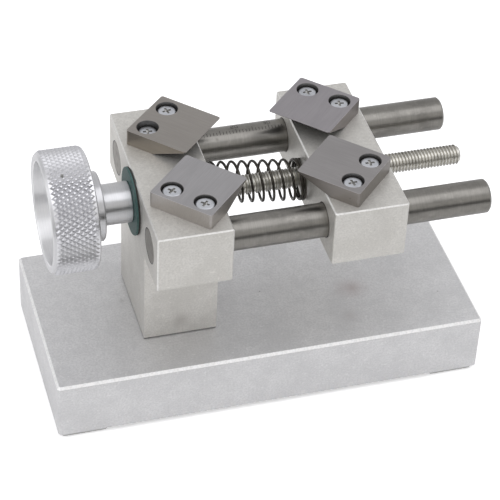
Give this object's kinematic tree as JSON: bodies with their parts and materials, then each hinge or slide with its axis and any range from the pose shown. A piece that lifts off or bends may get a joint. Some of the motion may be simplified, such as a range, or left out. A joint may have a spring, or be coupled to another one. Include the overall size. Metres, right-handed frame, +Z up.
{
  "type": "watch movement holder",
  "caption": "Bench holder for a watch movement: bevelled blades on a fixed jaw and a sliding jaw, drawn together on guide rods by a knurled knob and lead screw.",
  "frame": {"origin": "under the middle of the base plate, level with the underside of its foot pads", "axes": "+X along the guide rods from the knob to their free ends, +Y to the back, +Z up"},
  "size_m": [0.13, 0.06, 0.0791],
  "materials": {
    "base_aluminium": "fine blasted, satin",
    "jaw_aluminium": "fine blasted, satin",
    "knob_aluminium": "turned, diamond knurled rim",
    "rod_steel": "ground and polished",
    "screw_steel": "yellow-tinted plating on a rolled thread",
    "blade_steel": "surface ground, warm grey",
    "spring_steel": "dark drawn wire",
    "fastener_steel": "bright zinc plating",
    "base_screw_steel": "black oxide",
    "green_fibre": "pressed fibre",
    "grey_pad": "matte"
  },
  "bodies": {
    "base": {"base_plate": "base_aluminium", "foot_pad_front_left": "grey_pad", "foot_pad_front_right": "grey_pad", "foot_pad_back_left": "grey_pad", "foot_pad_back_right": "grey_pad", "fixed_jaw_block": "jaw_aluminium", "guide_rod_front": "rod_steel", "guide_rod_back": "rod_steel", "thrust_washer": "green_fibre", "return_spring": "spring_steel", "blade_fixed_front": "blade_steel", "blade_fixed_back": "blade_steel", "blade_screw_fixed_front_left": "fastener_steel", "blade_screw_fixed_front_right": "fastener_steel", "blade_screw_fixed_back_left": "fastener_steel", "blade_screw_fixed_back_right": "fastener_steel", "base_screw_front": "base_screw_steel", "base_screw_back": "base_screw_steel"},
    "knob": {"knob": "knob_aluminium", "lead_screw": "screw_steel"},
    "moving_jaw": {"moving_jaw_block": "jaw_aluminium", "blade_moving_front": "blade_steel", "blade_moving_back": "blade_steel", "blade_screw_moving_front_left": "fastener_steel", "blade_screw_moving_front_right": "fastener_steel", "blade_screw_moving_back_left": "fastener_steel", "blade_screw_moving_back_right": "fastener_steel"}
  },
  "joints": [
    {"name": "knob_turn", "type": "hinge", "parent": "base", "child": "knob", "pos_m": [-0.037, 0, 0.0611], "axis": [1, 0, 0], "range_deg": [-8640, 5220]},
    {"name": "jaw_slide", "type": "slide", "parent": "base", "child": "moving_jaw", "axis": [1, 0, 0], "range_m": [-0.0145, 0.024], "deforming": ["return_spring"]}
  ],
  "couplings": [
    {"joint": "jaw_slide", "follows": "knob_turn", "m_per_rad": -0.00015915}
  ]
}
